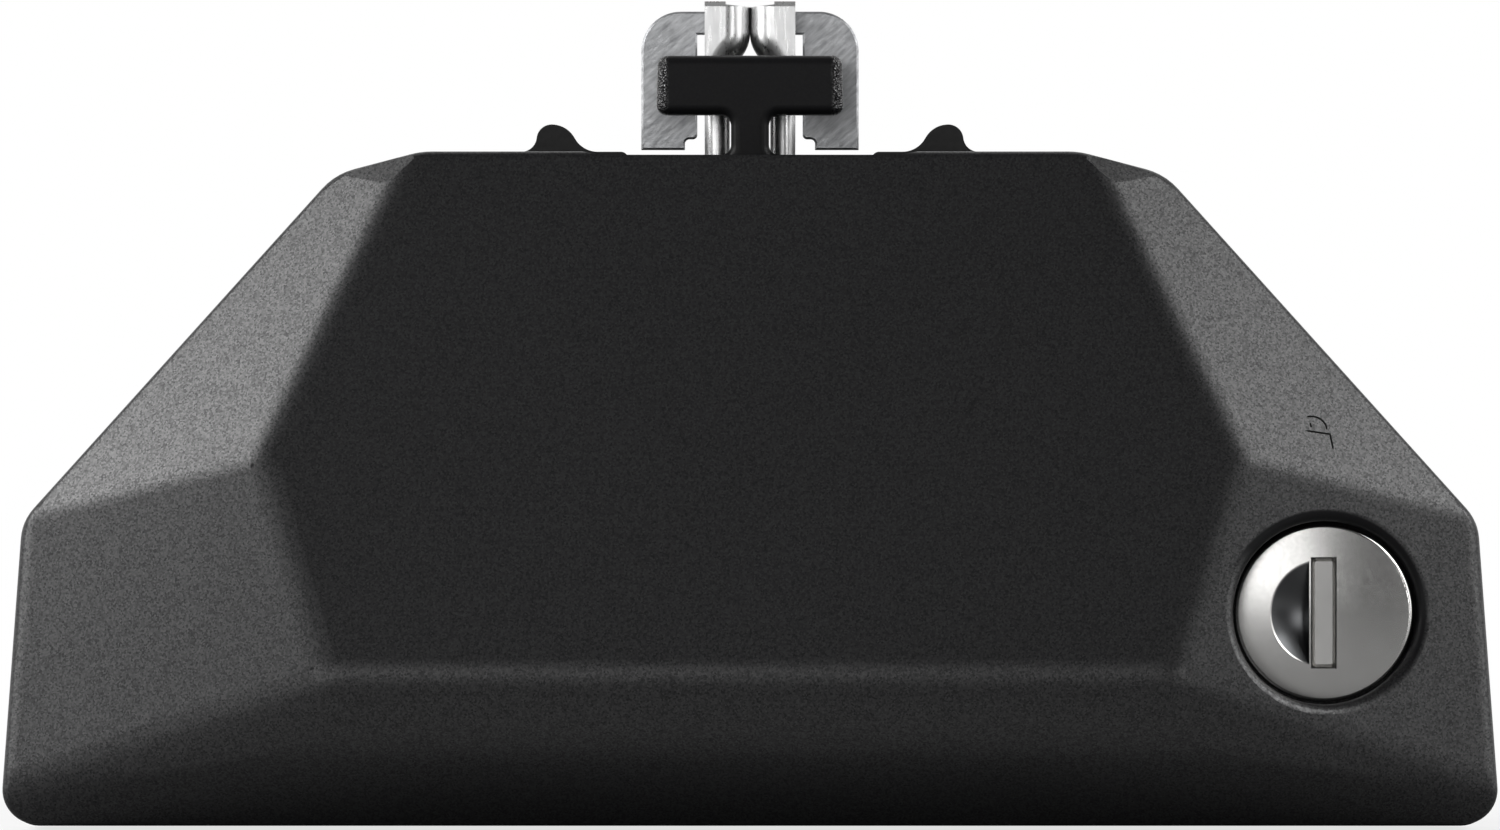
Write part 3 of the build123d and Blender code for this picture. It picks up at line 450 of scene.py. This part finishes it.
# The strokes stand on the facet; their blacker, duller polyamide is painted shade for the floor of an
# engraved line.
engraved = moulded("painted_groove_shade", "#060606", "#080808", grain_mm=0.3, rough=0.8,
                   specular=0.1, speckle=0.1)
for name, path_mm in (("sign_loop", loop), ("sign_tick", tick), ("sign_bar", bar)):
    mark = surface(name, stroke(path_mm), STROKE_STEPS)
    mark.data.materials.append(engraved)
    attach(mark, "cover")

# %% [markdown]
# ## Studio: the room
# A catalogue photograph has a white background and a dark room behind the camera: black plastic shows its
# form by what it mirrors, so a bright room would wash it out. The world is white to the camera, bright to
# metals that mirror what stands behind the foot, and dim in front. Is Camera Ray and its relatives on the
# Light Path node tell these cases apart.

# %% World
ROOM_FRONT, ROOM_BEHIND = 0.05, 1.0
ROOM_TURN = (-0.1, 0.4)
DIFFUSE_SHARE = 0.6
world = bpy.data.worlds.new("studio")
bpy.context.scene.world = world
world.use_nodes = True
room = world.node_tree
room.nodes.clear()
direction = add_node(room, "ShaderNodeTexCoord").outputs["Generated"]
depth = add_node(room, "ShaderNodeSeparateXYZ", {"Vector": direction}).outputs["Y"]
behind = add_node(room, "ShaderNodeMapRange", {
    "Value": depth, "From Min": ROOM_TURN[0], "From Max": ROOM_TURN[1],
    "To Min": ROOM_FRONT, "To Max": ROOM_BEHIND})
path = add_node(room, "ShaderNodeLightPath")
share = add_node(room, "ShaderNodeMapRange", {"Value": path.outputs["Is Glossy Ray"],
                                              "To Min": DIFFUSE_SHARE, "To Max": 1.0})
backdrop = add_node(room, "ShaderNodeMath", {0: behind.outputs["Result"], 1: share.outputs["Result"]},
                    operation="MULTIPLY")
seen = add_node(room, "ShaderNodeMath", {0: path.outputs["Is Camera Ray"],
                                         1: path.outputs["Is Transmission Ray"]}, operation="MAXIMUM")
strength = add_node(room, "ShaderNodeMath", {0: backdrop.outputs["Value"], 1: seen.outputs["Value"]},
                    operation="MAXIMUM")
glow = add_node(room, "ShaderNodeBackground", {"Color": linear("#ffffff"),
                                               "Strength": strength.outputs["Value"]})
add_node(room, "ShaderNodeOutputWorld", {"Surface": glow.outputs["Background"]})
print("world", world.name)

# %% [markdown]
# ## Studio: the lamps
# Every flat facet is a mirror with a haze, so each lamp stands where one kind of face mirrors it. Two
# softboxes light the upper facets, two cards close by the lower ones, and two side lamps the rims. Two tall
# strips draw the bright lines on the round hook legs, and a far card in front fills the lock, the yoke and
# the hook's lugs. Three cards on the floor shine up at the faces that turn down. One big lamp would be
# simpler, but it would give all facets the same tone.


# %% Lamps
def softbox(name, place, size, power, target=(0, 0, 0.05)):
    """Rectangular area lamp, in metres and watts, that faces a target point and isn't seen itself."""
    lamp = bpy.data.lights.new(name, "AREA")
    lamp.shape = "RECTANGLE"
    lamp.size, lamp.size_y = size
    lamp.energy = power
    holder = bpy.data.objects.new(name, lamp)
    bpy.context.collection.objects.link(holder)
    holder.location = place
    aim = holder.location - type(holder.location)(target)
    holder.rotation_euler = aim.to_track_quat("Z", "Y").to_euler()
    holder.visible_camera = False
    print("lamp", name, "at", place)


softbox("softbox_left", (-0.385, -0.174, 0.3), (0.25, 0.25), 1.55)
softbox("softbox_right", (0.385, -0.174, 0.3), (0.25, 0.25), 0.98)
softbox("card_left", (-0.226, -0.113, 0.1), (0.1, 0.12), 0.061, (-0.065, -0.02, 0.025))
softbox("card_right", (0.226, -0.113, 0.1), (0.1, 0.12), 0.022, (0.065, -0.02, 0.025))
softbox("side_left", (-0.43, -0.1, 0.13), (0.25, 0.3), 0.5)
softbox("side_right", (0.43, -0.1, 0.13), (0.25, 0.3), 0.4)
softbox("strip_left", (-0.4, -0.7, 0.08), (0.16, 0.25), 0.5)
softbox("strip_right", (0.42, -0.68, 0.08), (0.16, 0.25), 0.5)
softbox("front_card", (-0.215, -1.1, 0.175), (0.55, 0.26), 1.2, (-0.215, 0, 0.175))
for name, place, size, power in (("floor_card_left", (-0.22, -0.17, 0.003), (0.22, 0.22), 0.14),
                                 ("floor_card_front", (0, -0.052, 0.002), (0.17, 0.03), 0.003),
                                 ("floor_card_right", (0.24, -0.15, 0.003), (0.2, 0.2), 0.04)):
    softbox(name, place, size, power, (*place[:2], 1))

# %% [markdown]
# ## Studio: the paper
# The foot stands on white paper that keeps a soft shadow close to it and fades into the background further
# out. Lit paper alone would come out grey, and more light would spoil the plastics. So the camera sees paper
# that is mostly its own white, fully so beyond half a metre, while all other rays meet plain grey paper.

# %% Floor
FLOOR_HALF = 3.0
FLOOR_DROP = 0.0005
WHITE_FROM, WHITE_FULL = 0.12, 0.5
WHITE_LEAST = 0.75


def level_sheet(u, v):
    """Formula of a level square: x and y run from minus to plus FLOOR_HALF, FLOOR_DROP below zero."""
    return FLOOR_HALF * (2 * u - 1), FLOOR_HALF * (2 * v - 1), -FLOOR_DROP + 0 * u


floor = surface("studio_floor", level_sheet, (1, 1))
paper, tree, place = new_material("white_paper")
path = add_node(tree, "ShaderNodeLightPath")
seen = add_node(tree, "ShaderNodeMath", {0: path.outputs["Is Camera Ray"],
                                         1: path.outputs["Is Transmission Ray"]}, operation="MAXIMUM")
tone = add_node(tree, "ShaderNodeMix", {"Factor": seen.outputs["Value"], "A": linear("#929292"),
                                        "B": linear("#f4f4f4")}, data_type="RGBA")
matt = add_node(tree, "ShaderNodeBsdfDiffuse", {"Color": tone.outputs["Result"]})
white = add_node(tree, "ShaderNodeEmission", {"Color": linear("#ffffff"), "Strength": 1.0})
away = add_node(tree, "ShaderNodeVectorMath", {0: place}, operation="LENGTH")
fade = add_node(tree, "ShaderNodeMapRange", {
    "Value": away.outputs["Value"], "From Min": WHITE_FROM, "From Max": WHITE_FULL,
    "To Min": WHITE_LEAST, "To Max": 1.0})
whiteness = add_node(tree, "ShaderNodeMath", {0: seen.outputs["Value"], 1: fade.outputs["Result"]},
                     operation="MULTIPLY")
mixed = add_node(tree, "ShaderNodeMixShader", {"Fac": whiteness.outputs["Value"], 1: matt.outputs["BSDF"],
                                               2: white.outputs["Emission"]})
floor.data.materials.append(close(paper, tree, mixed.outputs["Shader"]))

# %% [markdown]
# ## Camera
# The photograph was taken from far away, level with the middle of the foot, so a long lens at four metres
# gives its almost flat perspective: the clamp, which stands further back than the cover, keeps nearly its
# full height. PHOTO_WIDE is the width that the picture covers at the depth of PHOTO_PLANE.

# %% Camera
PHOTO_WIDE = 181.0 * MM
CAMERA_FAR = 4.0
PHOTO_PLANE = -0.018
EYE_HIGH = 0.0496
lens = bpy.data.cameras.new("long_lens")
lens.sensor_width = 36.0
lens.lens = lens.sensor_width * CAMERA_FAR / PHOTO_WIDE
camera = bpy.data.objects.new("camera", lens)
bpy.context.collection.objects.link(camera)
camera.location = (0, PHOTO_PLANE - CAMERA_FAR, EYE_HIGH)
camera.rotation_euler = (np.pi / 2, 0, 0)
bpy.context.scene.camera = camera
bpy.context.scene.view_settings.view_transform = "Standard"
print("lens in mm:", lens.lens)
